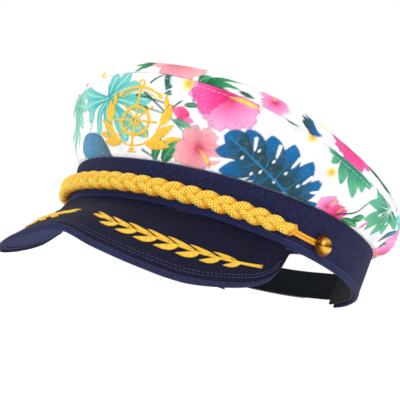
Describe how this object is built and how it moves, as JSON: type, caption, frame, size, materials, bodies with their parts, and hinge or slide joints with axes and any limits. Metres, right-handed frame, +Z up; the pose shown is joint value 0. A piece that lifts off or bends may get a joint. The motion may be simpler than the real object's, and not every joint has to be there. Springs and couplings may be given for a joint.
{
  "type": "captain hat",
  "caption": "Soft-crowned yachting cap with a stiff open-backed band, curved visor, plaited cord, embroidered badge and a snap strap.",
  "frame": {"origin": "centre of the bounding box's bottom face, on the table the hat stands on", "axes": "-Y is the front, where the visor is; +X is the wearer's left; +Z is up, with the hat tipped back on to its visor and band ends"},
  "size_m": [0.2234, 0.2522, 0.1251],
  "materials": {
    "crown_side": "printed cotton, tropical flowers and leaves on white",
    "crown_top": "printed cotton, tropical flowers and leaves on white",
    "band": "navy twill over stiff board",
    "sweatband": "black twill tape",
    "visor": "navy cloth over stiff board",
    "visor_binding": "navy bias strip, stitched",
    "strap_holes": "moulded, satin",
    "strap_studs": "moulded, satin",
    "plaited_cord": "knitted gold cord",
    "button_left": "polished",
    "button_right": "polished",
    "emblem": "satin stitch embroidery",
    "laurel_left": "satin stitch embroidery",
    "laurel_right": "satin stitch embroidery"
  },
  "bodies": {
    "root": {"crown_side": "crown_side", "crown_top": "crown_top", "band": "band", "sweatband": "sweatband", "visor": "visor", "visor_binding": "visor_binding", "strap_holes": "strap_holes", "strap_studs": "strap_studs", "plaited_cord": "plaited_cord", "button_left": "button_left", "button_right": "button_right", "emblem": "emblem", "laurel_left": "laurel_left", "laurel_right": "laurel_right"}
  },
  "joints": []
}
